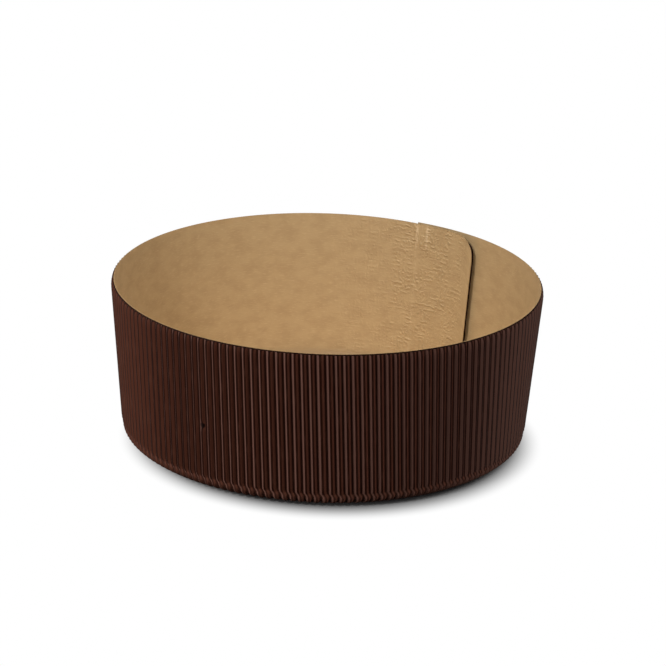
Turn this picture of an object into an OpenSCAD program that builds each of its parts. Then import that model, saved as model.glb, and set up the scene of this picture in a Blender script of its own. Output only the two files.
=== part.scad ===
// Round baking mould of single-faced fluted board: a wall strip lapped on itself, its foot turned in
// under a base disc. Millimetres, +Z up. The origin is on the mould's axis, at the surface it stands on.

/* [Mould] */
// Outside diameter at the rim, over the flutes
top_d = 180; // [130:1:190]
// Outside diameter at the foot, where the wall turns in
foot_d = 170; // [120:1:185]
// Height from the surface it stands on to the rim
height = 67; // [40:1:110]
// Outside radius of the turned-in foot, over the flutes
fold_r = 6; // [2.6:0.1:7]
// Width of the turned-in flange, from the outside of the foot
flange_w = 14; // [11:0.5:20]
// Distance of the fluted paper's cut edge below the inner paper's, at the rim
rim_drop = 0.5; // [0:0.1:2]

/* [Board] */
// Thickness of the smooth inner paper
liner_t = 0.3; // [0.2:0.05:0.5]
// Thickness of the fluted outer paper
fluting_t = 0.2; // [0.15:0.05:0.3]
// Height of a flute, with the paper's thickness
flute_h = 1.2; // [0.8:0.1:1.6]
// Distance from one flute to the next
flute_pitch = 3.4; // [3.2:0.1:5]
// Part of the pitch that a flute's flat crest takes
crest_share = 0.32; // [0.2:0.01:0.4]
// Part of the pitch that is glued to the inner paper
valley_share = 0.22; // [0.15:0.01:0.3]
// Thickness of the glue film between two papers
glue_t = 0.02; // [0.01:0.01:0.05]

/* [Lap] */
// Direction of the strip's outer end, in degrees from +X towards +Y
lap_dir = 64; // [0:1:359]
// Length of the inner end that lies behind the outer end
lap_w = 32.5; // [16:0.5:40]
// Turn over which the strip moves in before it passes inside its outer end, in degrees
lap_lead = 51; // [40:1:80]
// Clearance between the two layers where the inner end passes the outer end
lap_clear = 0.1; // [0.1:0.05:0.5]
// Length of the rounded top corner of the inner end, along the rim
corner_w = 10; // [4:1:16]
// Height of the rounded top corner of the inner end
corner_h = 10; // [3:1:20]

/* [Base] */
// Clearance around the base disc, where the lapped wall comes closest
disc_gap = 0.3; // [0.3:0.1:2]

/* [Hidden] */

$fn = 180;
kraft = "#AA8A62";
printed_brown = "#40261F";

top_r = top_d / 2;
foot_r = foot_d / 2;
flange_r = foot_r - flange_w;
board_t = liner_t + glue_t + flute_h;

// The turned-in foot is round about this point of the wall's section, [radius, height]
fold_at = [foot_r - fold_r, fold_r];

// Lean of the wall away from upright, so that it meets both the rim and the round foot
rim_from_fold = [top_r - fold_at.x, height - fold_at.y];
lean = acos(fold_r / norm(rim_from_fold)) - atan2(rim_from_fold.y, rim_from_fold.x);

// The strip closes on a tighter arc, whose centre lies towards close_dir, so that its inner end
// passes inside its outer end by one board and the clearance
lap_step = board_t + lap_clear;
close_shift = lap_step / (1 - cos(lap_lead));
close_dir = lap_dir + lap_lead;
close_r = top_r - close_shift;
close_turn = lap_lead + asin(close_shift * sin(lap_lead) / close_r);
tab_turn = lap_w / close_r * 180 / PI;
main_turn = 360 - lap_lead;

// The inner end has no turned-in foot: it stops above the round foot of the layer behind it
tab_foot = fold_r + lap_clear;

// Whole flutes in each stretch of the strip
tab_flutes = round(lap_w / flute_pitch);
close_flutes = round(close_turn * PI / 180 * close_r / flute_pitch);
main_flutes = round(main_turn * PI / 180 * top_r / flute_pitch);

// Base disc, on top of the flange
disc_r = fold_at.x - lap_step - disc_gap;
disc_z = board_t + glue_t;
disc_flutes = ceil(2 * disc_r / flute_pitch);

// Wave of the fluted paper

// Shift of a bend between the two faces of the paper, as a part of the pitch
flank_share = (1 - crest_share - valley_share) / 2;
flank_angle = atan2(flute_h - fluting_t, flank_share * flute_pitch);
bend_share = fluting_t * tan(flank_angle / 2) / flute_pitch;

// The four bends of one flute on one face, as parts of the pitch from valley to valley.
// bend is 0 on the outer face and bend_share on the face towards the inner paper.
function flute_bends(bend) = [
    valley_share / 2 + bend,
    0.5 - crest_share / 2 + bend,
    0.5 + crest_share / 2 - bend,
    1 - valley_share / 2 - bend
];

// Height of the outer face over the inner paper, at each of the four bends
valley_top = glue_t + fluting_t;
crest_top = glue_t + flute_h;
flute_tops = [valley_top, crest_top, crest_top, valley_top];

// Section of the wall

// Point of the wall's leaning face at a height, with the face at distance rho from the fold's centre
function wall_point(rho, z) = [fold_at.x + (rho + sin(lean) * (z - fold_at.y)) / cos(lean), z];

// Point of a face of the fold, seen from its centre at an angle below the horizontal
function fold_point(rho, angle) = fold_at + rho * [cos(angle), -sin(angle)];

// The fluted paper turns in over two creases, between which its faces touch the round fold
crease = (90 - lean) / 4;
function crease_point(rho, side) = fold_point(rho / cos(crease), lean + (side == 0 ? 1 : 3) * crease);

function flange_point(rho, r) = [r, fold_at.y - rho];

// Distance of the inner paper's two faces from the fold's centre
liner_out = fold_r - glue_t - flute_h;
liner_in = liner_out - liner_t;

// Wall strip

close_centre = close_shift * [cos(close_dir), sin(close_dir)];

// Place of a section point on the strip: shift is 0 on the main turn and close_shift on the closing arc
function on_strip(point, angle, shift) = [
    (shift == 0 ? 0 : close_centre.x) + (point.x - shift) * cos(angle),
    (shift == 0 ? 0 : close_centre.y) + (point.x - shift) * sin(angle),
    point.y
];

// Turns at which the stretches of the strip begin and end
tab_from = close_dir - close_turn - tab_turn;
tab_to = close_dir - close_turn;
main_to = close_dir + main_turn;

// Rim height at a turn, lowered by the rounded corner of the inner end
function rim_at(angle) = let (along = (angle - tab_from) * PI / 180 * close_r)
    along >= corner_w ? height : height - corner_h * (1 - sqrt(1 - pow(1 - max(along, 0) / corner_w, 2)));

// A column of a strip is [turn and distance of its outer face, the same of its inner face, shift],
// where a distance is from the fold's centre.
function fluting_column(out_turn, in_turn, top, shift) =
    [out_turn, liner_out + top, in_turn, liner_out + top - fluting_t, shift];
function liner_column(turn, shift) = [turn, liner_out, turn, liner_in, shift];

// Fluted paper: a column at each bend of each flute
function bend_columns(from, turn, flutes, shift) = [
    for (i = [0:flutes - 1], k = [0:3])
        fluting_column(
            from + turn * (i + flute_bends(0)[k]) / flutes,
            from + turn * (i + flute_bends(bend_share)[k]) / flutes,
            flute_tops[k],
            shift
        )
];

// Inner paper: a column under the middle of each crest, so that each valley lies on a flat
function crest_columns(from, turn, flutes, shift) = [
    for (i = [0:flutes - 1]) liner_column(from + turn * (i + 0.5) / flutes, shift)
];

// Section at a column of the inner end: rim and foot outside, then foot and rim inside
function tab_outline(column, drop) = [
    on_strip(wall_point(column[1], rim_at(column[0]) - drop), column[0], column[4]),
    on_strip(wall_point(column[1], tab_foot), column[0], column[4]),
    on_strip(wall_point(column[3], tab_foot), column[2], column[4]),
    on_strip(wall_point(column[3], rim_at(column[2]) - drop), column[2], column[4])
];

// Section at a column with a turned-in foot: rim, two creases and flange edge outside, then back inside
function turned_outline(column, drop) = [
    on_strip(wall_point(column[1], height - drop), column[0], column[4]),
    on_strip(crease_point(column[1], 0), column[0], column[4]),
    on_strip(crease_point(column[1], 1), column[0], column[4]),
    on_strip(flange_point(column[1], flange_r), column[0], column[4]),
    on_strip(flange_point(column[3], flange_r), column[2], column[4]),
    on_strip(crease_point(column[3], 1), column[2], column[4]),
    on_strip(crease_point(column[3], 0), column[2], column[4]),
    on_strip(wall_point(column[3], height - drop), column[2], column[4])
];

// One sheet of paper along the strip, closed at its rim, its flange and its two ends, with its rim lowered
// by drop. The last column of the inner end stands at the first turned column and shares its two rim points.
module strip(tab, turned, drop) {
    last_tab = len(tab) - 1;
    last = len(turned) - 1;
    function tab_id(j, k) = 4 * j + k;
    function turned_id(j, k) =
        j == 0 && k == 0 ? tab_id(last_tab, 0) :
        j == 0 && k == 7 ? tab_id(last_tab, 3) :
        4 * (last_tab + 1) + (j == 0 ? k - 1 : 8 * j - 2 + k);
    points = [
        for (column = tab) each tab_outline(column, drop),
        for (k = [1:6]) turned_outline(turned[0], drop)[k],
        for (j = [1:last]) each turned_outline(turned[j], drop)
    ];
    faces = [
        // free edge of the inner end, and the inner end up to the turned-in foot
        [for (k = [3:-1:0]) tab_id(0, k)],
        for (j = [0:last_tab - 1], k = [0:3])
            [tab_id(j, k), tab_id(j, (k + 1) % 4), tab_id(j + 1, (k + 1) % 4), tab_id(j + 1, k)],
        // edge of the turned-in foot, below the inner end
        [tab_id(last_tab, 1), tab_id(last_tab, 2), for (k = [6:-1:1]) turned_id(0, k)],
        // first stretch beside that edge, whose two wall faces also meet the inner end's foot
        [turned_id(0, 0), tab_id(last_tab, 1), turned_id(0, 1), turned_id(1, 1), turned_id(1, 0)],
        [turned_id(0, 6), tab_id(last_tab, 2), turned_id(0, 7), turned_id(1, 7), turned_id(1, 6)],
        for (k = [1, 2, 3, 4, 5, 7])
            [turned_id(0, k), turned_id(0, (k + 1) % 8), turned_id(1, (k + 1) % 8), turned_id(1, k)],
        // the rest of the strip, and its outer end
        for (j = [1:last - 1], k = [0:7])
            [turned_id(j, k), turned_id(j, (k + 1) % 8), turned_id(j + 1, (k + 1) % 8), turned_id(j + 1, k)],
        [for (k = [0:7]) turned_id(last, k)]
    ];
    polyhedron(points = points, faces = faces);
}

// The inner end of the inner paper has as many columns as the flutes have bends, to round its corner
module wall_liner() {
    tab = [
        liner_column(tab_from, close_shift),
        for (column = bend_columns(tab_from, tab_turn, tab_flutes, close_shift))
            liner_column(column[0], close_shift),
        liner_column(tab_to, close_shift)
    ];
    turned = [
        liner_column(tab_to, close_shift),
        each crest_columns(tab_to, close_turn, close_flutes, close_shift),
        each crest_columns(close_dir, main_turn, main_flutes, 0),
        liner_column(main_to, 0)
    ];
    color(kraft) strip(tab, turned, 0);
}

module wall_fluting() {
    tab = [
        fluting_column(tab_from, tab_from, valley_top, close_shift),
        each bend_columns(tab_from, tab_turn, tab_flutes, close_shift),
        fluting_column(tab_to, tab_to, valley_top, close_shift)
    ];
    turned = [
        fluting_column(tab_to, tab_to, valley_top, close_shift),
        each bend_columns(tab_to, close_turn, close_flutes, close_shift),
        each bend_columns(close_dir, main_turn, main_flutes, 0),
        fluting_column(main_to, main_to, valley_top, 0)
    ];
    color(printed_brown) strip(tab, turned, rim_drop);
}

module base_liner() {
    color(kraft)
    translate([0, 0, disc_z + crest_top])
    cylinder(h = liner_t, r = disc_r);
}

// Fluted paper under the disc, with straight flutes along Y and their crests down
module base_fluting() {
    half = disc_flutes / 2;
    outer = [
        for (i = [0:disc_flutes - 1], k = [0:3])
            [(i - half + flute_bends(0)[k]) * flute_pitch, crest_top - flute_tops[k]]
    ];
    inner = [
        for (i = [disc_flutes - 1:-1:0], k = [3:-1:0])
            [(i - half + flute_bends(bend_share)[k]) * flute_pitch, crest_top - flute_tops[k] + fluting_t]
    ];
    color(printed_brown)
    translate([0, 0, disc_z])
    intersection() {
        cylinder(h = flute_h, r = disc_r);
        translate([0, disc_r + 1, 0])
        rotate([90, 0, 0])
        linear_extrude(2 * (disc_r + 1))
        polygon(concat(outer, inner));
    }
}

wall_liner();
wall_fluting();
base_liner();
base_fluting();
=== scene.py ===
"""Looks of a round, low baking mould of single-faced fluted board.

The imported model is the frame. Each paper of the mould starts as a flat sheet of its real length and width, is
rolled to its place as the real one is, takes its thickness, and then stands for its CAD node.
"""

import logging
from dataclasses import dataclass, field
from enum import Enum
from math import acos, asin, atan2, ceil, cos, hypot, pi, radians, sin
from typing import Any

import bpy
import numpy as np
from bpy.types import Material, Node, NodeSocket, NodeTree, Object
from mathutils import Matrix, Vector


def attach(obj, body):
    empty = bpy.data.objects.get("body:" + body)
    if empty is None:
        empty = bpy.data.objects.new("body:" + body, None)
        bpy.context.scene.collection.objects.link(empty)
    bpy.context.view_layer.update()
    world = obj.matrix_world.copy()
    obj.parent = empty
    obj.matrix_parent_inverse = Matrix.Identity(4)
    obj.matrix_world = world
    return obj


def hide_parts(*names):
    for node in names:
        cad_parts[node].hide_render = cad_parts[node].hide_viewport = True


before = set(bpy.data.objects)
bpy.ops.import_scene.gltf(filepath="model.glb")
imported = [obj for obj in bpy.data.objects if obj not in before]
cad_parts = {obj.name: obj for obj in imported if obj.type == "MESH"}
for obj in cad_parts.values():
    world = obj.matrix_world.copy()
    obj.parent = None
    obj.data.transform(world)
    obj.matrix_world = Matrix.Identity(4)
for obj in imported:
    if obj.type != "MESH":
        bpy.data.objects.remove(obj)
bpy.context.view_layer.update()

MM = 0.001
SHARP_EDGE = radians(50)
CUT_TOLERANCE = 0.001 * MM
SOFT = {"interpolation_type": "SMOOTHSTEP"}
LOG = logging.getLogger("baking_mould")


# Helpers


def linear(hex_colour: str) -> tuple[float, float, float, float]:
    """Turns an sRGB hex colour to the linear colour that a shader takes.

    Args:
        hex_colour: six hex digits after a hash sign.

    Returns:
        Red, green and blue from 0 to 1, and an alpha of 1.
    """
    parts = [int(hex_colour[i:i + 2], 16) / 255 for i in (1, 3, 5)]
    return (*[c / 12.92 if c <= 0.04045 else ((c + 0.055) / 1.055) ** 2.4 for c in parts], 1.0)


def add_node(
    tree: NodeTree,
    kind: str,
    values: dict[str | int, Any] | None = None,
    links: dict[str | int, NodeSocket] | None = None,
    **settings: Any,
) -> Node:
    """Adds a node with its settings and links.

    Args:
        tree: tree that gets the node.
        kind: type of the node, without its ShaderNode prefix.
        values: fixed value of each named or numbered input.
        links: output that feeds each named or numbered input.
        settings: the node's own settings, by name.

    Returns:
        The new node.
    """
    node = tree.nodes.new("ShaderNode" + kind)
    for name, value in settings.items():
        setattr(node, name, value)
    for key, value in (values or {}).items():
        node.inputs[key].default_value = value
    for key, socket in (links or {}).items():
        tree.links.new(socket, node.inputs[key])
    return node


def select_only(piece: Object) -> None:
    """Makes a piece the active object and the only selected one.

    Args:
        piece: the piece that the next operators act on.
    """
    bpy.ops.object.select_all(action="DESELECT")
    piece.select_set(True)
    bpy.context.view_layer.objects.active = piece


def apply_modifier(piece: Object, kind: str, **settings: Any) -> None:
    """Adds a modifier to a piece and applies it.

    Args:
        piece: the piece that is finished.
        kind: type of the modifier.
        settings: the modifier's settings, by name.
    """
    select_only(piece)
    modifier = piece.modifiers.new(kind.lower(), kind)
    for name, value in settings.items():
        setattr(modifier, name, value)
    bpy.ops.object.modifier_apply(modifier=modifier.name)


def vertex_places(piece: Object) -> np.ndarray:
    """Reads the places of a mesh's vertices.

    Args:
        piece: the piece whose mesh is read.

    Returns:
        The places, one row each.
    """
    places = np.empty(len(piece.data.vertices) * 3)
    piece.data.vertices.foreach_get("co", places)
    return places.reshape(-1, 3)


def move_vertices(piece: Object, places: np.ndarray) -> None:
    """Moves a mesh's vertices to new places, one row each."""
    piece.data.vertices.foreach_set("co", places.ravel())
    piece.data.update()


def select_faces(piece: Object, chosen: np.ndarray) -> None:
    """Selects faces of a mesh in object mode, and nothing else.

    Args:
        piece: the piece whose faces are selected.
        chosen: one truth value for each face.
    """
    mesh = piece.data
    mesh.vertices.foreach_set("select", np.zeros(len(mesh.vertices), bool))
    mesh.edges.foreach_set("select", np.zeros(len(mesh.edges), bool))
    mesh.polygons.foreach_set("select", chosen)


def face_centres(piece: Object) -> np.ndarray:
    """Reads the centres of a mesh's faces.

    Args:
        piece: the piece whose mesh is read.

    Returns:
        The centres, one row each.
    """
    centres = np.empty(len(piece.data.polygons) * 3)
    piece.data.polygons.foreach_get("center", centres)
    return centres.reshape(-1, 3)


def soft_step(value: np.ndarray, low: float, high: float) -> np.ndarray:
    """Rises smoothly from 0 at low to 1 at high, or falls where low is above high."""
    share = np.clip((value - low) / (high - low), 0, 1)
    return share * share * (3 - 2 * share)


# Board and shape of the strip


@dataclass(frozen=True)
class Board:
    """Single-faced board: a smooth paper with a fluted paper glued to it. Sizes in metres.

    The larger the value of flank, the steeper and straighter are the flanks of the flutes.
    """

    liner: float = 0.3 * MM
    fluting: float = 0.2 * MM
    flute_height: float = 1.2 * MM
    glue: float = 0.02 * MM
    pitch: float = 3.4 * MM
    flank: float = 1.6

    @property
    def thickness(self) -> float:
        """Thickness of the whole board."""
        return self.liner + self.glue + self.flute_height

    def wave(self, place: np.ndarray) -> np.ndarray:
        """Height of the fluted paper's outer face over the smooth paper.

        Args:
            place: place along the board, in flutes, with a valley at each whole number.

        Returns:
            The height at each place, with straight flanks between a round crest and a round valley.
        """
        swing = -np.cos(2 * pi * place)
        rise = 0.5 + 0.5 * np.tanh(self.flank * swing) / np.tanh(self.flank)
        return self.glue + self.fluting + (self.flute_height - self.fluting) * rise


@dataclass(frozen=True)
class WallStrip:
    """The board strip of the wall, rolled up and lapped on itself. Sizes in metres, turns in radians.

    A place on the strip is given flat, as it is cut: its reach along the rim from the one flute that follows
    the wall's slope, and how far it lies along the section from the edge of the turned-in flange to the rim.
    The wall is slightly conical, so its blank is an arc, and the board's flutes are parallel across that arc.
    They lean more and more away from the wall's slope towards its two ends.
    """

    board: Board = Board()
    rim_radius: float = 90 * MM
    foot_radius: float = 85 * MM
    height: float = 67 * MM
    fold_radius: float = 6 * MM
    flange_width: float = 14 * MM
    rim_drop: float = 0.5 * MM
    lap_direction: float = radians(64)
    lap_width: float = 32.5 * MM
    lap_lead: float = radians(51)
    lap_clearance: float = 0.1 * MM
    corner_width: float = 10 * MM
    corner_height: float = 10 * MM
    end_curl: float = 0.1 * MM
    curled_width: float = 8 * MM
    foot_tuck: float = 0.5 * MM
    sloping_flute: float = radians(237.5)

    @property
    def fold_centre(self) -> tuple[float, float]:
        """Centre of the round foot in the wall's section, as radius and height."""
        return self.foot_radius - self.fold_radius, self.fold_radius

    @property
    def lean(self) -> float:
        """Lean of the wall, away from upright.

        Returns:
            The angle, in radians.
        """
        across = self.rim_radius - self.fold_centre[0]
        up = self.height - self.fold_centre[1]
        return acos(self.fold_radius / hypot(across, up)) - atan2(up, across)

    @property
    def lap_step(self) -> float:
        """How far the strip moves in before it passes inside its own outer end."""
        return self.board.thickness + self.lap_clearance

    @property
    def close_shift(self) -> float:
        """Distance of the closing arc's centre from the mould's axis."""
        return self.lap_step / (1 - cos(self.lap_lead))

    @property
    def turns(self) -> tuple[float, float, float, float]:
        """Turns at which the strip's stretches begin and end.

        Returns:
            The turns of the free inner end, of the lap's end, of the closing arc's end, and of the outer end.
        """
        close_direction = self.lap_direction + self.lap_lead
        close_radius = self.rim_radius - self.close_shift
        close_turn = self.lap_lead + asin(self.close_shift * sin(self.lap_lead) / close_radius)
        lap_end = close_direction - close_turn
        free_end = lap_end - self.lap_width / close_radius
        return free_end, lap_end, close_direction, self.lap_direction + 2 * pi

    @property
    def reaches(self) -> tuple[float, float, float, float]:
        """Reaches along the rim of the turns.

        Returns:
            The reach of each turn, in the same order.
        """
        free_end, lap_end, close_direction, outer_end = self.turns
        close_radius = self.rim_radius - self.close_shift
        closed = (close_direction - self.sloping_flute) * self.rim_radius
        return (
            closed - (close_direction - free_end) * close_radius,
            closed - (close_direction - lap_end) * close_radius,
            closed,
            (outer_end - self.sloping_flute) * self.rim_radius,
        )

    @property
    def foot_end(self) -> float:
        """Reach at which the fold and the flange end, moved up to the outer end so that no slit is left."""
        return self.reaches[1] - self.foot_tuck

    @property
    def liner_out(self) -> float:
        """Distance of the smooth paper's outer face from the fold's centre."""
        return self.fold_radius - self.board.glue - self.board.flute_height

    @property
    def section_stops(self) -> tuple[float, float, float]:
        """Lengths along the section, from the flange's edge.

        Returns:
            The lengths at which the fold and the wall begin, and at which the rim lies.
        """
        flange = self.fold_centre[0] - (self.foot_radius - self.flange_width)
        fold = flange + self.liner_out * (pi / 2 - self.lean)
        wall = (self.height - self.fold_centre[1] + self.liner_out * sin(self.lean)) / cos(self.lean)
        return flange, fold, fold + wall

    @property
    def lap_foot(self) -> float:
        """Length along the section at which the inner end stops, above the round foot outside it."""
        return self.section_stops[1] + self.lap_clearance + self.liner_out * sin(self.lean) / cos(self.lean)

    @property
    def length(self) -> float:
        """Length of the strip along the rim."""
        return self.reaches[3] - self.reaches[0]

    def slope_radius(self, across: np.ndarray) -> np.ndarray:
        """Radius of the wall at a length along the section, and of its foot for the fold and the flange."""
        _, wall_from, rim = self.section_stops
        return self.rim_radius - (rim - np.maximum(across, wall_from)) * sin(self.lean)

    def flute_reach(self, flute: np.ndarray, across: np.ndarray) -> np.ndarray:
        """Reach at which a flute, counted from the sloping one, passes a length along the section."""
        offset = flute * self.board.pitch * sin(self.lean) / self.slope_radius(across)
        return np.arcsin(offset) / sin(self.lean) * self.rim_radius

    def flute_place(self, reach: np.ndarray, across: np.ndarray) -> np.ndarray:
        """Place in flutes, counted from the sloping one, of a reach at a length along the section."""
        offset = np.sin(reach / self.rim_radius * sin(self.lean))
        return offset * self.slope_radius(across) / (sin(self.lean) * self.board.pitch)

    def roll(self, reach: np.ndarray, across: np.ndarray, lift: np.ndarray, drop: float = 0) -> np.ndarray:
        """Rolls flat places of the strip into the mould's wall, fold and flange.

        Args:
            reach: reach along the rim from the sloping flute.
            across: length along the section from the flange's edge.
            lift: height over the smooth paper's outer face.
            drop: distance of the paper's cut edge below the rim.

        Returns:
            The places in space, one row each.
        """
        turn = np.interp(reach, self.reaches, self.turns)
        fold_from, wall_from, rim = self.section_stops
        fold_x, fold_z = self.fold_centre
        from_end = reach - self.reaches[0]
        rho = self.liner_out + lift - self.end_curl * np.clip(1 - from_end / self.curled_width, 0, 1) ** 2

        corner = np.clip(1 - from_end / self.corner_width, 0, 1)
        rim_height = self.height - drop - self.corner_height * (1 - np.sqrt(1 - corner**2))
        share = np.clip((across - wall_from) / (rim - wall_from), 0, 1)
        wall_foot = fold_z - rho * sin(self.lean)
        wall_z = wall_foot + share * (rim_height - wall_foot)
        wall_r = fold_x + (rho + sin(self.lean) * (wall_z - fold_z)) / cos(self.lean)

        unrolled = 1 - np.clip((across - fold_from) / (wall_from - fold_from), 0, 1)
        dip = self.lean + unrolled * (pi / 2 - self.lean)
        fold_r = fold_x + rho * np.cos(dip)
        fold_h = fold_z - rho * np.sin(dip)

        flange_r = self.foot_radius - self.flange_width + across
        radius = np.where(across > wall_from, wall_r, np.where(across > fold_from, fold_r, flange_r))
        height = np.where(across > wall_from, wall_z, np.where(across > fold_from, fold_h, fold_z - rho))

        closing = turn < self.turns[2]
        shift = np.where(closing, self.close_shift, 0)
        return np.column_stack([
            shift * cos(self.turns[2]) + (radius - shift) * np.cos(turn),
            shift * sin(self.turns[2]) + (radius - shift) * np.sin(turn),
            height,
        ])


def flat_sheet(name: str, columns: np.ndarray, rows: np.ndarray) -> Object:
    """Adds a flat sheet, whose lines lie at given places, with an empty UV map.

    Args:
        name: name of the new piece.
        columns: place of each line along the sheet.
        rows: place of each line across the sheet.

    Returns:
        The sheet, with its places along and across as X and Y.
    """
    bpy.ops.object.select_all(action="DESELECT")
    bpy.ops.mesh.primitive_grid_add(
        x_subdivisions=len(columns) - 1, y_subdivisions=len(rows) - 1, size=2, calc_uvs=True
    )
    sheet = bpy.context.object
    sheet.name = sheet.data.name = name
    places = vertex_places(sheet)
    column = np.rint((places[:, 0] + 1) / 2 * (len(columns) - 1)).astype(int)
    row = np.rint((places[:, 1] + 1) / 2 * (len(rows) - 1)).astype(int)
    move_vertices(sheet, np.column_stack([columns[column], rows[row], np.zeros(len(places))]))
    return sheet


def write_uv(sheet: Object, places: np.ndarray, size: tuple[float, float]) -> None:
    """Writes a sheet's UV map, which runs from 0 to 1 over its length and width.

    Args:
        sheet: the flat sheet.
        places: place of each vertex along and across the paper, one row each.
        size: length and width of the paper.
    """
    corners = np.empty(len(sheet.data.loops), int)
    sheet.data.loops.foreach_get("vertex_index", corners)
    sheet.data.uv_layers[0].data.foreach_set("uv", (places[corners] / size).ravel())


def cut_flat(sheet: Object, reach: float, discard: str | None = None) -> None:
    """Cuts a flat sheet across, all the way from edge to edge.

    Args:
        sheet: the flat sheet.
        reach: place of the cut along the sheet.
        discard: side that falls away, "below" or "above", or None where both stay in one piece.
    """
    select_only(sheet)
    bpy.ops.object.mode_set(mode="EDIT")
    bpy.ops.mesh.select_all(action="SELECT")
    bpy.ops.mesh.bisect(
        plane_co=(reach, 0, 0),
        plane_no=(1, 0, 0),
        clear_inner=discard == "below",
        clear_outer=discard == "above",
        threshold=CUT_TOLERANCE,
    )
    bpy.ops.object.mode_set(mode="OBJECT")


def cut_lap_foot(sheet: Object, strip: WallStrip) -> None:
    """Cuts the fold and the flange away from the strip's inner end, while the sheet is flat.

    Args:
        sheet: the flat sheet, with a line at the end of the fold and one at the lap's foot.
        strip: the strip that it is rolled into.
    """
    centres = face_centres(sheet)
    select_faces(sheet, (centres[:, 0] < strip.foot_end) & (centres[:, 1] < strip.lap_foot))
    select_only(sheet)
    bpy.ops.object.mode_set(mode="EDIT")
    bpy.ops.mesh.delete(type="FACE")
    bpy.ops.object.mode_set(mode="OBJECT")


# Finishes


@dataclass(frozen=True)
class Range:
    """Range of a value, and what its two ends become, with a soft start and finish."""

    low: float
    high: float
    first: float = 0
    last: float = 1

    @property
    def inputs(self) -> dict[str | int, float]:
        """Fixed values for the inputs of a Map Range node."""
        return {1: self.low, 2: self.high, 3: self.first, 4: self.last}


@dataclass(frozen=True)
class Grain:
    """Grain or patches in paper: size along each axis in millimetres, finer octaves, and what counts."""

    size_mm: tuple[float, float, float]
    detail: float
    counts: Range

    def relief(self, tree: NodeTree, where: NodeSocket) -> NodeSocket:
        """Adds the grain as it is.

        Args:
            tree: tree of the material.
            where: coordinates in millimetres.

        Returns:
            The grain, from 0 to 1.
        """
        scale = tuple(1 / size for size in self.size_mm)
        placed = add_node(tree, "Mapping", {"Scale": scale}, {"Vector": where}).outputs[0]
        return add_node(tree, "TexNoise", {"Scale": 1, "Detail": self.detail}, {"Vector": placed}).outputs[0]

    def share(self, tree: NodeTree, where: NodeSocket) -> NodeSocket:
        """Adds the share that the range of what counts makes of the grain."""
        relief = self.relief(tree, where)
        return add_node(tree, "MapRange", self.counts.inputs, {0: relief}, **SOFT).outputs[0]


def sheet_millimetres(tree: NodeTree, size: tuple[float, float] | None) -> NodeSocket:
    """Adds coordinates in millimetres of paper.

    Args:
        tree: tree of the material.
        size: length and width of the sheet that the UV map covers, or None for Object coordinates.

    Returns:
        The vector output, in millimetres.
    """
    coordinates = add_node(tree, "TexCoord")
    scale = (size[0] / MM, size[1] / MM, 1) if size else (1 / MM, 1 / MM, 1 / MM)
    source = coordinates.outputs["UV" if size else "Object"]
    return add_node(tree, "Mapping", {"Scale": scale}, {"Vector": source}).outputs[0]


def lay_coats(tree: NodeTree, base: str, coats: list[tuple[str, NodeSocket]]) -> NodeSocket:
    """Lays coats of colour over a base, each as far as its share goes.

    Args:
        tree: tree of the material.
        base: hex colour of the base.
        coats: hex colour and share of each coat, in the order in which they are laid.

    Returns:
        The colour of them all.
    """
    laid = None
    for colour, share in coats:
        colours = {7: linear(colour)} if laid else {6: linear(base), 7: linear(colour)}
        links = {0: share, 6: laid} if laid else {0: share}
        laid = add_node(tree, "Mix", colours, links, data_type="RGBA").outputs[2]
    return laid


def new_material(name: str, roughness: float, specular: float) -> tuple[Material, Node]:
    """Starts a material with one Principled shader.

    Args:
        name: name of the real material.
        roughness: roughness of the surface.
        specular: specular level of the surface.

    Returns:
        The material and its shader node.
    """
    material = bpy.data.materials.new(name)
    material.use_nodes = True
    shader = material.node_tree.nodes["Principled BSDF"]
    shader.inputs["Roughness"].default_value = roughness
    shader.inputs["Specular IOR Level"].default_value = specular
    return material, shader


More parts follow.
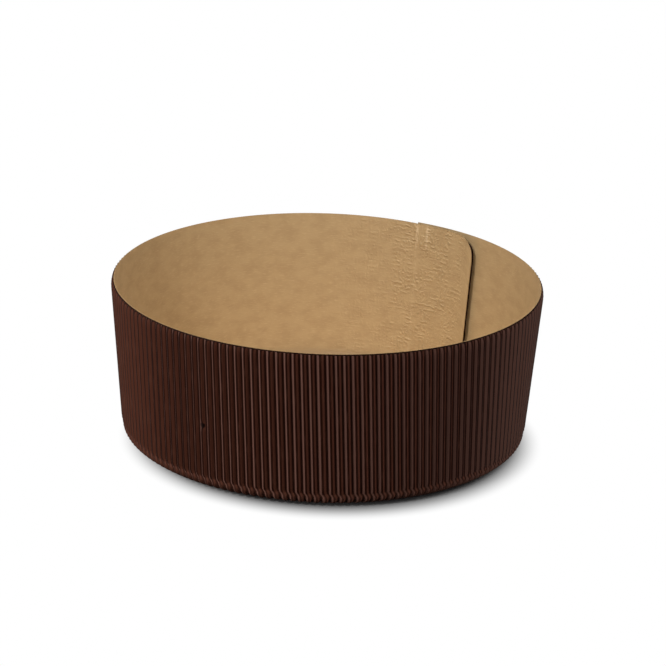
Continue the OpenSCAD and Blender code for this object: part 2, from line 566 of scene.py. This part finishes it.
@dataclass(frozen=True)
class PressMarks:
    """Gluing press dabs over the lap, with a painted ridge highlight and painted shade in the foot's fold.

    The places are in millimetres, from the free inner end and from the flange's edge. The dabs lie along the
    flutes in some patches and across them in others.
    """

    rise: Range = Range(2, 7)
    drop: Range = Range(36, 46, 1, 0.45)
    fade: Range = Range(50, 80, 1, 0)
    dab_mm: float = 1.9
    dab_depth: float = 0.24 * MM
    dab_wander: float = 2.2
    dab_detail: float = 3.5
    crossed: Grain = Grain((3.6, 4.2, 1), 0, Range(0.45, 0.55))
    broken: Grain = Grain((1.6, 1.6, 1), 1, Range(0.38, 0.62, 0.1, 1))
    faint: Grain = Grain((7, 9, 1), 1, Range(0.35, 0.6, 0.25, 1))
    roughness: float = 0.42
    ridges: tuple[tuple[float, float], ...] = ((31.6, 0.2), (26.6, 0))
    ridge_line: Range = Range(0.75, 0.25, 0, 0.75)
    dash_from: float = 66
    dash_fade: float = 1
    ridge_gaps: Grain = Grain((0.8, 2.2, 1), 2, Range(0.35, 0.55, 0.2, 1))
    # A painted highlight on the ridges that show through the lap.
    painted_ridge_highlight: str = "#D8BC94"
    # Painted shade in the fold at the foot, all round: full below 12.1 mm along the section, none above 16.1
    # mm.
    crease: Range = Range(16.1, 12.1)
    painted_fold_shade: str = "#8E7048"

    def dabs(self, tree: NodeTree, where: NodeSocket) -> NodeSocket:
        """Adds the relief of the dabs.

        Args:
            tree: tree of the material.
            where: coordinates in millimetres of paper.

        Returns:
            The relief, from 0 to 1.
        """
        # A wave texture of scale 1 turns through 20 radians a unit.
        scale = 2 * pi / 20 / self.dab_mm
        along_x, along_y = (
            add_node(
                tree,
                "TexWave",
                {"Scale": scale, "Distortion": self.dab_wander, "Detail": 1, "Detail Scale": self.dab_detail},
                {"Vector": where},
                bands_direction=direction,
            ).outputs["Fac"]
            for direction in ("X", "Y")
        )
        crossed = self.crossed.share(tree, where)
        dabs = add_node(tree, "Mix", links={0: crossed, 2: along_x, 3: along_y}).outputs[0]
        along = add_node(tree, "SeparateXYZ", links={0: where}).outputs["X"]
        shares = [
            self.broken.share(tree, where),
            *(
                add_node(tree, "MapRange", zone.inputs, {0: along}, **SOFT).outputs[0]
                for zone in (self.rise, self.drop, self.fade)
            ),
            self.faint.share(tree, where),
        ]
        for share in shares:
            dabs = add_node(tree, "Math", links={0: dabs, 1: share}, operation="MULTIPLY").outputs[0]
        return dabs

    def ridge_highlight_share(self, tree: NodeTree, where: NodeSocket) -> NodeSocket:
        """Adds the share of a painted highlight on the ridges that show through the lap.

        Args:
            tree: tree of the material.
            where: coordinates in millimetres of paper.

        Returns:
            The share, from 0 to 1.
        """
        along, across, _ = add_node(tree, "SeparateXYZ", links={0: where}).outputs
        lit_lines = []
        for ridge, below_dash in self.ridges:
            off = add_node(tree, "Math", {1: ridge}, {0: along}, operation="SUBTRACT").outputs[0]
            off = add_node(tree, "Math", links={0: off}, operation="ABSOLUTE").outputs[0]
            line = add_node(tree, "MapRange", self.ridge_line.inputs, {0: off}, **SOFT).outputs[0]
            dash = Range(self.dash_from - self.dash_fade, self.dash_from + self.dash_fade, below_dash)
            long = add_node(tree, "MapRange", dash.inputs, {0: across}, **SOFT).outputs[0]
            lit_lines.append(add_node(tree, "Math", links={0: line, 1: long}, operation="MULTIPLY").outputs[0])
        both = add_node(tree, "Math", links={0: lit_lines[0], 1: lit_lines[1]}, operation="MAXIMUM").outputs[0]
        gaps = self.ridge_gaps.share(tree, where)
        return add_node(tree, "Math", links={0: both, 1: gaps}, operation="MULTIPLY").outputs[0]


@dataclass(frozen=True)
class KraftPaper:
    """Machine-finished natural kraft paper: tan, with soft clouds and fibres lying mostly along the roll.

    The eye sees a warm, even, nearly matt sheet. The fibres are drawn coarser than real ones, to show at all.
    """

    name: str = "kraft paper, natural, machine finished"
    tan: str = "#BC9E73"
    dark_cloud: str = "#B3956B"
    pale_fibre: str = "#CBAE85"
    clouds: Grain = Grain((8, 5, 5), 3, Range(0.35, 0.7))
    fibres: Grain = Grain((2.6, 0.45, 0.45), 3, Range(0.5, 0.8, 0, 0.7))
    roughness: float = 0.55
    specular: float = 0.35
    relief: float = 0.05 * MM

    def material(self, size: tuple[float, float] | None = None, marks: PressMarks | None = None) -> Material:
        """Builds the paper's material.

        Args:
            size: length and width of the sheet that the UV map covers, or None for Object coordinates.
            marks: marks of the gluing press, with the painted ridge highlight and fold shade, or None.

        Returns:
            The material.
        """
        material, shader = new_material(self.name, self.roughness, self.specular)
        tree = material.node_tree
        where = sheet_millimetres(tree, size)
        fibres = self.fibres.relief(tree, where)
        fibre_share = add_node(tree, "MapRange", self.fibres.counts.inputs, {0: fibres}, **SOFT).outputs[0]
        coats = [(self.dark_cloud, self.clouds.share(tree, where)), (self.pale_fibre, fibre_share)]
        bump = add_node(tree, "Bump", {"Strength": 1, "Distance": self.relief}, {"Height": fibres})
        if marks:
            # Painted shade in the fold at the foot, and a painted highlight on the ridges over the lap.
            across = add_node(tree, "SeparateXYZ", links={0: where}).outputs["Y"]
            crease = add_node(tree, "MapRange", marks.crease.inputs, {0: across}, **SOFT).outputs[0]
            coats += [(marks.painted_fold_shade, crease), (marks.painted_ridge_highlight, marks.ridge_highlight_share(tree, where))]
            dabs = marks.dabs(tree, where)
            pressed = {"Height": dabs, "Normal": bump.outputs[0]}
            bump = add_node(tree, "Bump", {"Strength": 1, "Distance": marks.dab_depth}, pressed)
            gloss = Range(0, 0.5, self.roughness, marks.roughness)
            shine = add_node(tree, "MapRange", gloss.inputs, {0: dabs}, **SOFT).outputs[0]
            tree.links.new(shine, shader.inputs["Roughness"])
        tree.links.new(lay_coats(tree, self.tan, coats), shader.inputs["Base Color"])
        tree.links.new(bump.outputs[0], shader.inputs["Normal"])
        return material


@dataclass(frozen=True)
class PrintedPaper:
    """Kraft paper dyed and printed dark brown, then fluted: nearly black, with painted light on the flanks.

    The eye sees thin upright lines, painted highlights where side light would fall on the flanks: greyish
    ones on the flanks that face left, seen from the front, and redder, dimmer ones on the others. The ink
    wears pale in fine streaks, and a painted highlight lies along the crease.
    """

    name: str = "kraft paper, dyed and printed dark brown, fluted"
    ink: str = "#140502"
    # Painted light on the flanks: the greyish highlight, then the dimmer red-brown light of the other flanks.
    painted_flank_highlight: str = "#48312A"
    painted_dim_flank_light: str = "#3A1F16"
    # Pale ink: wear in fine streaks, and also a painted highlight along the crease at the foot.
    wear_and_highlight_ink: str = "#5A3A2F"
    # Painted shade in the dent of the nick.
    painted_nick_shade: str = "#080201"
    flank: tuple[float, float] = (0.5, 0.95)
    streaks: Grain = Grain((0.5, 9, 0.5), 3, Range(0.5, 0.85, 0, 0.25))
    # Where the painted crease highlight lies, by the distance from the crease in millimetres.
    crease_highlight_top: Range = Range(0.5, -0.3, 0, 0.12)
    crease_highlight_bottom: Range = Range(-3.6, -2.6)
    nick_fade: Range = Range(1.5, 0.7)
    roughness: float = 0.55
    specular: float = 0.015
    relief: float = 0.02 * MM

    def material(
        self, size: tuple[float, float], pitch: float, crease: float, nick: tuple[float, float, float]
    ) -> Material:
        """Builds the printed paper's material.

        Args:
            size: length and width of the sheet that the UV map covers.
            pitch: distance from one flute to the next, with a valley at each whole number.
            crease: length along the section of the foot's crease, where a painted highlight lies.
            nick: place of the one nick on the flat paper, in millimetres, where painted shade is laid.

        Returns:
            The material.
        """
        material, shader = new_material(self.name, self.roughness, self.specular)
        tree = material.node_tree
        where = sheet_millimetres(tree, size)
        along, across, _ = add_node(tree, "SeparateXYZ", links={0: where}).outputs
        turn = add_node(tree, "Math", {1: 2 * pi * MM / pitch}, {0: along}, operation="MULTIPLY").outputs[0]
        swing = add_node(tree, "Math", links={0: turn}, operation="SINE").outputs[0]
        low, high = self.flank
        streaks = self.streaks.relief(tree, where)
        above = add_node(tree, "Math", {1: crease / MM}, {0: across}, operation="SUBTRACT").outputs[0]
        away = add_node(tree, "VectorMath", {1: nick}, {0: where}, operation="DISTANCE").outputs["Value"]
        # thin is the share of the painted flank highlight, by the flute's phase.
        dim_flank_light, thin, wear_and_highlight_ink, top, bottom, painted_nick_shade = (
            add_node(tree, "MapRange", counts.inputs, {0: value}, **SOFT).outputs[0]
            for counts, value in (
                (Range(-low, -high), swing),
                (Range(low, high), swing),
                (self.streaks.counts, streaks),
                (self.crease_highlight_top, above),
                (self.crease_highlight_bottom, above),
                (self.nick_fade, away),
            )
        )
        # A painted highlight along the crease at the foot.
        painted_crease_highlight = add_node(tree, "Math", links={0: top, 1: bottom}, operation="MULTIPLY").outputs[0]
        # Painted flank light and highlight, pale streaks of wear, painted crease highlight, painted nick shade.
        coats = [
            (self.painted_dim_flank_light, dim_flank_light),
            (self.painted_flank_highlight, thin),
            (self.wear_and_highlight_ink, wear_and_highlight_ink),
            (self.wear_and_highlight_ink, painted_crease_highlight),
            (self.painted_nick_shade, painted_nick_shade),
        ]
        bump = add_node(tree, "Bump", {"Strength": 1, "Distance": self.relief}, {"Height": streaks})
        tree.links.new(lay_coats(tree, self.ink, coats), shader.inputs["Base Color"])
        tree.links.new(bump.outputs[0], shader.inputs["Normal"])
        return material


@dataclass(frozen=True)
class CutEdge:
    """Cut edge of kraft paper: rough and fibrous, which gives the rim a thin, dull line."""

    name: str = "kraft paper, cut edge"
    pale: str = "#A1845C"
    dark: str = "#836643"
    fibres: Grain = Grain((0.3, 0.3, 0.3), 3, Range(0.35, 0.65))
    roughness: float = 0.85
    specular: float = 0.2

    def material(self) -> Material:
        """Builds the cut edge's material.

        Returns:
            The material.
        """
        material, shader = new_material(self.name, self.roughness, self.specular)
        tree = material.node_tree
        fibres = self.fibres.share(tree, sheet_millimetres(tree, None))
        tree.links.new(lay_coats(tree, self.pale, [(self.dark, fibres)]), shader.inputs["Base Color"])
        return material


# Pieces


class Layer(Enum):
    """Order of the materials on a paper with thickness: printed or outer face, inner face, cut edge."""

    OUTER = 0
    INNER = 1
    EDGE = 2


def thicken(sheet: Object, thickness: float, materials: list[Material]) -> None:
    """Gives a paper its thickness, inwards from its outer face, and shades it smooth up to its cut edges.

    Args:
        sheet: the rolled sheet.
        thickness: thickness of the paper.
        materials: its materials, in the order of Layer.
    """
    for material in materials:
        sheet.data.materials.append(material)
    apply_modifier(
        sheet,
        "SOLIDIFY",
        thickness=thickness,
        offset=-1,
        use_even_offset=True,
        material_offset=Layer.INNER.value,
        material_offset_rim=Layer.EDGE.value,
    )
    select_only(sheet)
    bpy.ops.object.shade_smooth_by_angle(angle=SHARP_EDGE)


@dataclass
class FlutedWall:
    """The brown fluted paper round the wall, the foot and the flange.

    Its flutes are crimped at the crease, flattened and skewed over the fold, and crushed at the rim and at
    the free end. Skew and unevenness are in flutes. Crimp, flattening and crush are shares of their height.
    """

    strip: WallStrip
    lines_per_flute: int = 10
    flange_rows: int = 2
    fold_rows: int = 7
    crease_rows: int = 2
    wall_rows: int = 10
    crease_zone: float = 2.6 * MM
    crimp: float = 0.5
    crimp_width: float = 0.9 * MM
    flattened: float = 0.35
    flattened_from: float = 4 * MM
    skew: float = 0.3
    skewed_from: float = 1.2 * MM
    fold_run: float = 2 * MM
    flange_run: float = 1.5 * MM
    rim_crush: float = 0.45
    rim_zone: float = 1.1 * MM
    uneven: float = 0.04
    uneven_seed: int = 7
    lap_trim: float = 0.5 * MM
    crushed_width: float = 3.1 * MM
    crush_run: float = 1.2 * MM
    nick_turn: float = radians(236.4)
    nick_height: float = 29.4 * MM
    nick_size: float = 1.6 * MM
    nick_depth: float = 0.8 * MM

    def rows(self) -> np.ndarray:
        """Places of the sheet's lines across the strip.

        Returns:
            The places, closer together over the crease and at the nick.
        """
        fold, wall, rim = self.strip.section_stops
        foot = self.strip.lap_foot
        return np.unique(np.concatenate([
            np.linspace(0, fold, self.flange_rows + 1),
            np.linspace(fold, wall, self.fold_rows + 1),
            np.linspace(foot, foot + self.crease_zone, self.crease_rows + 1),
            np.linspace(foot + self.crease_zone, rim, self.wall_rows + 1)[1:],
            self.nick_across + np.array([-1, 0, 1]) * self.nick_size,
            rim - np.array([2, 1]) * self.rim_zone,
        ]))

    @property
    def nick_across(self) -> float:
        """Length along the section at which the nick lies."""
        strip = self.strip
        return strip.section_stops[1] + (self.nick_height - strip.fold_centre[1]) / cos(strip.lean)

    @property
    def nick_reach(self) -> float:
        """Reach along the rim at which the nick lies."""
        return (self.nick_turn - self.strip.sloping_flute) * self.strip.rim_radius

    @property
    def nick_place(self) -> tuple[float, float, float]:
        """Place of the nick on the flat paper, in millimetres."""
        flute = float(self.strip.flute_place(np.array(self.nick_reach), np.array(self.nick_across)))
        return flute * self.strip.board.pitch / MM, self.nick_across / MM, 0.0

    def build(self, materials: list[Material]) -> Object:
        """Cuts the arc-shaped blank from board with parallel flutes, rolls it up and gives it thickness.

        Args:
            materials: its materials, in the order of Layer.

        Returns:
            The fluted paper.
        """
        strip = self.strip
        board = strip.board
        free_end, _, _, outer_end = strip.reaches
        rim = strip.section_stops[2]
        first = int(np.floor(strip.flute_place(free_end, rim)))
        last = int(np.ceil(strip.flute_place(outer_end, rim)))
        columns = np.linspace(first, last, (last - first) * self.lines_per_flute + 1)
        sheet = flat_sheet("fluted_brown_wall", columns, self.rows())
        flat = vertex_places(sheet)
        flat[:, 0] = strip.flute_reach(flat[:, 0], flat[:, 1])
        move_vertices(sheet, flat)
        cut_flat(sheet, free_end + self.lap_trim, discard="below")
        cut_flat(sheet, outer_end, discard="above")
        cut_flat(sheet, strip.foot_end)
        cut_lap_foot(sheet, strip)

        reach, across = vertex_places(sheet)[:, :2].T
        flute = strip.flute_place(reach, across)
        flute += self.unevenness(flute, first, last) - self.skew * self.fold_share(across, self.skewed_from)
        write_uv(sheet, np.column_stack([flute * board.pitch, across]), (strip.length, rim))
        lift = board.wave(flute) * self.crimped(across) - self.nick(reach, across)
        lift += (board.wave(flute).max() - lift) * self.crushed_end(reach - free_end)
        lift = np.maximum(lift, board.glue + board.fluting)
        move_vertices(sheet, strip.roll(reach, across, lift, strip.rim_drop))
        thicken(sheet, board.fluting, materials)
        return sheet

    def crushed_end(self, from_end: np.ndarray) -> np.ndarray:
        """Share to which the flutes at the free end are crushed flat against the layer outside."""
        return np.clip((self.lap_trim + self.crushed_width - from_end) / self.crush_run, 0, 1)

    def unevenness(self, flute: np.ndarray, first: int, last: int) -> np.ndarray:
        """Small shifts of the flutes along the board, as fluting rolls leave them, in flutes."""
        shifts = np.random.default_rng(self.uneven_seed).normal(0, self.uneven, last - first + 1)
        return np.interp(flute, np.arange(first, last + 1), shifts)

    def fold_share(self, across: np.ndarray, begin: float) -> np.ndarray:
        """Rises from 0 to 1 just below the crease at the foot, and falls to 0 again where the flange begins.

        Args:
            across: length along the section.
            begin: distance below the crease at which it has fully risen.

        Returns:
            The share at each place.
        """
        flange, crease, _ = self.strip.section_stops
        below = crease - across
        risen = soft_step(below, begin - self.fold_run, begin)
        return risen * soft_step(across, flange, flange + self.flange_run)

    def crimped(self, across: np.ndarray) -> np.ndarray:
        """Share of a flute's height that is left where the crease, the fold and the cut rim crush it.

        Args:
            across: length along the section.

        Returns:
            The share at each place.
        """
        _, crease, rim = self.strip.section_stops
        left = 1 - self.crimp * np.exp(-(((across - crease) / self.crimp_width) ** 2))
        left -= self.flattened * self.fold_share(across, self.flattened_from)
        return left - self.rim_crush * np.exp(-(((rim - across) / self.rim_zone) ** 2))

    def nick(self, reach: np.ndarray, across: np.ndarray) -> np.ndarray:
        """Depth of the one small nick, knocked into the flutes at the front, to the left."""
        away = np.hypot(reach - self.nick_reach, across - self.nick_across)
        return self.nick_depth * np.exp(-((away / self.nick_size) ** 2))


@dataclass
class KraftWall:
    """The smooth kraft paper inside the wall, the foot and the flange.

    The flutes and the outer end behind the lap show through it: a long ridge, and a dash beside it near the
    rim. Places and widths along the strip are in flutes from the free end, dash lengths are from the rim.
    """

    strip: WallStrip
    line_gap: float = 1.7 * MM
    flange_rows: int = 4
    fold_rows: int = 8
    wall_rows: int = 32
    lap_cuts: int = 3
    press_to: float = 12.0
    ridge_height: float = 0.28 * MM
    ridge_at: float = 9.3
    ridge_width: float = 0.3
    ridge_share: float = 0.6
    dash_at: float = 7.8
    dash_width: float = 0.25
    dash_share: float = 1.4
    dash_bottom: tuple[float, float] = (12 * MM, 8 * MM)
    dash_top: tuple[float, float] = (1 * MM, 3 * MM)

    def rows(self) -> np.ndarray:
        """Places of the sheet's lines across the strip.

        Returns:
            The places, with one at the lap's foot.
        """
        fold, wall, rim = self.strip.section_stops
        return np.concatenate([
            np.linspace(0, fold, self.flange_rows + 1),
            np.linspace(fold, wall, self.fold_rows + 1)[1:],
            np.linspace(self.strip.lap_foot, rim, self.wall_rows + 1),
        ])

    def build(self, materials: list[Material]) -> Object:
        """Rolls the smooth paper, with the lap's ridges, and gives it thickness.

        Args:
            materials: its materials, in the order of Layer.

        Returns:
            The smooth paper.
        """
        strip = self.strip
        free_end, _, _, outer_end = strip.reaches
        in_lap = round((strip.foot_end - free_end) / self.line_gap)
        past_lap = round((outer_end - strip.foot_end) / self.line_gap)
        columns = np.concatenate([
            np.linspace(free_end, strip.foot_end, in_lap + 1),
            np.linspace(strip.foot_end, outer_end, past_lap + 1)[1:],
        ])
        sheet = flat_sheet("lapped_kraft_wall", columns, self.rows())
        cut_lap_foot(sheet, strip)
        centres = face_centres(sheet)
        pressed_to = free_end + self.press_to * strip.board.pitch
        select_faces(sheet, (centres[:, 0] < pressed_to) & (centres[:, 1] > strip.lap_foot))
        select_only(sheet)
        bpy.ops.object.mode_set(mode="EDIT")
        bpy.ops.mesh.subdivide(number_cuts=self.lap_cuts)
        bpy.ops.object.mode_set(mode="OBJECT")
        reach, across = vertex_places(sheet)[:, :2].T
        from_end = reach - free_end
        write_uv(sheet, np.column_stack([from_end, across]), (strip.length, strip.section_stops[2]))
        ridges = self.ridges(from_end / strip.board.pitch, across)
        move_vertices(sheet, strip.roll(reach, across, -ridges))
        thicken(sheet, strip.board.liner, materials)
        return sheet

    def ridges(self, along: np.ndarray, across: np.ndarray) -> np.ndarray:
        """Height of the ridges that show through the lap.

        Args:
            along: distance from the free inner end, in flutes.
            across: length along the section.

        Returns:
            How far the paper stands out at each place.
        """
        rim = self.strip.section_stops[2]
        dash = soft_step(rim - across, *self.dash_bottom) * soft_step(rim - across, *self.dash_top)
        share = self.ridge_share + (self.dash_share - self.ridge_share) * dash
        ridge = np.exp(-(((along - self.ridge_at) / self.ridge_width) ** 2)) * share
        ridge += np.exp(-(((along - self.dash_at) / self.dash_width) ** 2)) * self.dash_share * dash
        return self.ridge_height * ridge


@dataclass
class Base:
    """The base disc: a smooth kraft paper on top and straight flutes below, laid on the flange."""

    strip: WallStrip
    gap: float = 0.3 * MM
    facets: int = 180
    edge_ring: float = 1 * MM
    cutter_height: float = 20 * MM
    lines_per_flute: int = 10

    @property
    def radius(self) -> float:
        """Radius of the disc."""
        return self.strip.fold_centre[0] - self.strip.lap_step - self.gap

    @property
    def underside(self) -> float:
        """Height of the flutes' crests, just over the flange."""
        return self.strip.board.thickness + self.strip.board.glue

    def build_kraft(self, material: Material) -> Object:
        """Cuts the smooth paper disc.

        Args:
            material: its material.

        Returns:
            The smooth disc.
        """
        board = self.strip.board
        bpy.ops.object.select_all(action="DESELECT")
        height = self.underside + board.flute_height + board.glue
        bpy.ops.mesh.primitive_circle_add(
            vertices=self.facets, radius=self.radius, fill_type="NGON", location=(0, 0, height)
        )
        disc = bpy.context.object
        disc.name = disc.data.name = "kraft_base"
        bpy.ops.object.mode_set(mode="EDIT")
        bpy.ops.mesh.select_all(action="SELECT")
        bpy.ops.mesh.extrude_region_move(TRANSFORM_OT_translate={"value": (0, 0, board.liner)})
        bpy.ops.mesh.inset(thickness=self.edge_ring, depth=0)
        bpy.ops.mesh.select_all(action="SELECT")
        bpy.ops.mesh.normals_make_consistent(inside=False)
        bpy.ops.object.mode_set(mode="OBJECT")
        bpy.ops.object.transform_apply(location=True)
        disc.data.materials.append(material)
        return disc

    def build_flutes(self, materials: list[Material]) -> Object:
        """Flutes a square of paper, turns its crests down and trims it round.

        Args:
            materials: its materials, in the order of Layer.

        Returns:
            The fluted disc.
        """
        board = self.strip.board
        flutes = ceil(2 * self.radius / board.pitch)
        side = flutes * board.pitch
        columns = np.linspace(0, flutes, flutes * self.lines_per_flute + 1)
        sheet = flat_sheet("fluted_base", columns, np.array([0, side]))
        flat = vertex_places(sheet)
        write_uv(sheet, flat[:, :2] * (board.pitch, 1), (self.strip.length, self.strip.section_stops[2]))
        height = self.underside + board.glue + board.flute_height - board.wave(flat[:, 0])
        turned = [flat[:, 0] * board.pitch - side / 2, side / 2 - flat[:, 1], height]
        move_vertices(sheet, np.column_stack(turned))
        thicken(sheet, board.fluting, materials)
        bpy.ops.object.select_all(action="DESELECT")
        bpy.ops.mesh.primitive_cylinder_add(
            vertices=self.facets, radius=self.radius, depth=self.cutter_height
        )
        cutter = bpy.context.object
        apply_modifier(sheet, "BOOLEAN", operation="INTERSECT", object=cutter, solver="EXACT")
        bpy.data.objects.remove(cutter)
        return sheet


@dataclass
class Mould:
    """The whole mould, built in the order in which it is made."""

    strip: WallStrip = field(default_factory=WallStrip)
    kraft: KraftPaper = KraftPaper()
    marks: PressMarks = PressMarks()
    printed: PrintedPaper = PrintedPaper()
    # Painted shade: the smooth paper's outer face is dark, where it shows in the hollows between the flutes.
    shade_painted: KraftPaper = KraftPaper("kraft paper, inked brown", "#1E100B", "#180B07", "#33211A", specular=0.03)
    edge: CutEdge = CutEdge()

    def build(self) -> None:
        """Builds and dresses each piece, and puts it in the place of its CAD node."""
        strip_size = (self.strip.length, self.strip.section_stops[2])
        kraft = self.kraft.material(strip_size, self.marks)
        fluted = FlutedWall(self.strip)
        printed = self.printed.material(
            strip_size, self.strip.board.pitch, self.strip.section_stops[1], fluted.nick_place
        )
        edge = self.edge.material()
        plain_kraft = self.kraft.material()
        # Painted shade for the smooth paper's outer face.
        shade_painted = self.shade_painted.material(strip_size)
        base = Base(self.strip)
        self.place(fluted.build([printed] * 3), "wall_fluting", "brown_fluting")
        self.place(KraftWall(self.strip).build([shade_painted, kraft, edge]), "wall_liner", "kraft_liner")
        self.place(base.build_kraft(plain_kraft), "base_liner", "base_kraft")
        self.place(base.build_flutes([printed] * 3), "base_fluting", "base_brown")

    def place(self, piece: Object, node: str, slot: str) -> None:
        """Puts a piece in the place of its CAD node.

        Args:
            piece: the finished piece.
            node: the CAD node that it stands for.
            slot: name of a material slot; not used.
        """
        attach(piece, "root")
        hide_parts(node)
        triangles = sum(len(face.vertices) - 2 for face in piece.data.polygons)
        LOG.info("%s: %d triangles, in place of %s", piece.name, triangles, node)


# Studio


def seen_rays(tree: NodeTree) -> NodeSocket:
    """Adds a value that is 1 for the rays that see a thing straight, in a reflection or through something.

    Args:
        tree: tree of the floor's material or of the world.

    Returns:
        The value, 0 or 1.
    """
    rays = add_node(tree, "LightPath").outputs
    seen = rays["Is Camera Ray"]
    for other in (rays["Is Glossy Ray"], rays["Is Transmission Ray"]):
        seen = add_node(tree, "Math", links={0: seen, 1: other}, operation="MAXIMUM").outputs[0]
    return seen


@dataclass(frozen=True)
class Softbox:
    """A softbox that faces the mould. Angles in degrees, sizes in metres.

    The azimuth is 0 at the camera and grows to the right, and the level is the white level, of 1, that it
    alone would give a white card facing it at the mould.
    """

    name: str
    azimuth: float
    elevation: float
    distance: float
    width: float
    height: float
    level: float

    def build(self, target: Vector) -> None:
        """Hangs the softbox.

        Args:
            target: the place that it faces.
        """
        lamp = bpy.data.lights.new(self.name, "AREA")
        lamp.shape = "RECTANGLE"
        lamp.size = self.width
        lamp.size_y = self.height
        # So much energy lights a card that faces the lamp with pi times the level, which makes it that white.
        lamp.energy = self.level * pi**2 * self.distance**2
        hung = bpy.data.objects.new(self.name, lamp)
        bpy.context.scene.collection.objects.link(hung)
        turn, rise = radians(self.azimuth), radians(self.elevation)
        away = Vector((sin(turn) * cos(rise), -cos(turn) * cos(rise), sin(rise)))
        hung.location = target + away * self.distance
        hung.rotation_euler = away.to_track_quat("Z", "Y").to_euler()
        hung.visible_camera = False


@dataclass(frozen=True)
class Studio:
    """White sweep, softboxes and camera.

    The low softboxes at the left and the right light only the outer wall, and the small hard one draws the
    shadow in the lap's gap. The floor's shadow is kept up to a distance from its centre, then turns to white.
    """

    softboxes: tuple[Softbox, ...] = (
        Softbox("softbox_over", 30, 80, 0.9, 1.0, 0.8, 0.92),
        Softbox("softbox_front", 26, 46, 0.9, 0.9, 0.5, 0.2),
        Softbox("softbox_key", -40, 41, 0.9, 0.1, 0.1, 0.44),
        Softbox("softbox_left", -67, 0.4, 0.8, 0.6, 0.05, 1.4),
        Softbox("softbox_right", 57, 0.4, 0.8, 0.4, 0.05, 0.57),
    )
    lit_height: float = 25 * MM
    ambient: float = 0.1
    floor_size: float = 8.0
    floor_grey: str = "#6E6E6E"
    shadow_centre: tuple[float, float, float] = (3 * MM, -7.5 * MM, 0)
    shadow_fade: Range = Range(73 * MM, 89.5 * MM)
    sensor: float = 36.0
    picture_width: float = 666
    focal_pixels: float = 3070.3
    distance: float = 1.284
    elevation: float = 20.218
    roll: float = 1.796
    target: Vector = field(default_factory=lambda: Vector((2.92 * MM, 0, 43.2 * MM)))

    def build(self) -> None:
        """Sets up the floor, the world, the softboxes and the camera."""
        self.build_floor()
        self.build_world()
        for softbox in self.softboxes:
            softbox.build(Vector((0, 0, self.lit_height)))
        self.build_camera()
        bpy.context.scene.view_settings.view_transform = "Standard"

    def build_floor(self) -> None:
        """Lays the white floor, which keeps the mould's shadow and goes to plain white away from it."""
        bpy.ops.object.select_all(action="DESELECT")
        bpy.ops.mesh.primitive_plane_add(size=self.floor_size)
        floor = bpy.context.object
        floor.name = floor.data.name = "studio_floor"
        material, shader = new_material("white paper sweep", 0.9, 0.0)
        shader.inputs["Base Color"].default_value = linear(self.floor_grey)
        tree = material.node_tree
        where = add_node(tree, "TexCoord").outputs["Object"]
        away = add_node(tree, "VectorMath", {1: self.shadow_centre}, {0: where}, operation="DISTANCE")
        away = away.outputs["Value"]
        past = add_node(tree, "MapRange", self.shadow_fade.inputs, {0: away}, **SOFT).outputs[0]
        share = add_node(tree, "Math", links={0: past, 1: seen_rays(tree)}, operation="MULTIPLY").outputs[0]
        white = add_node(tree, "Emission", {"Color": (1, 1, 1, 1), "Strength": 1.0}).outputs[0]
        mixed = add_node(tree, "MixShader", links={0: share, 1: shader.outputs[0], 2: white}).outputs[0]
        tree.links.new(mixed, tree.nodes["Material Output"].inputs["Surface"])
        floor.data.materials.append(material)

    def build_world(self) -> None:
        """Sets the soft light all round, and the white that the camera and reflections see."""
        world = bpy.data.worlds.new("white_studio")
        world.use_nodes = True
        bpy.context.scene.world = world
        tree = world.node_tree
        levels = Range(0, 1, self.ambient, 1)
        strength = add_node(tree, "MapRange", levels.inputs, {0: seen_rays(tree)}, **SOFT).outputs[0]
        background = tree.nodes["Background"]
        background.inputs["Color"].default_value = (1, 1, 1, 1)
        tree.links.new(strength, background.inputs["Strength"])

    def build_camera(self) -> None:
        """Places the camera at the photograph's angle, with a lens for a picture 666 pixels wide."""
        data = bpy.data.cameras.new("camera")
        data.sensor_width = self.sensor
        data.lens = self.sensor * self.focal_pixels / self.picture_width
        camera = bpy.data.objects.new("camera", data)
        bpy.context.scene.collection.objects.link(camera)
        rise, roll = radians(self.elevation), radians(self.roll)
        back = Vector((0, -cos(rise), sin(rise)))
        up = Vector((0, sin(rise), cos(rise)))
        right = Vector((cos(roll), 0, 0)) + sin(roll) * up
        up = cos(roll) * up - Vector((sin(roll), 0, 0))
        turned = Matrix((right, up, back)).transposed().to_4x4()
        camera.matrix_world = Matrix.Translation(self.target + back * self.distance) @ turned
        bpy.context.scene.camera = camera


def main() -> None:
    """Builds the mould and its studio; placing each piece logs its triangles."""
    logging.basicConfig(level=logging.INFO, format="%(message)s")
    Mould().build()
    Studio().build()


if __name__ == "__main__":
    main()
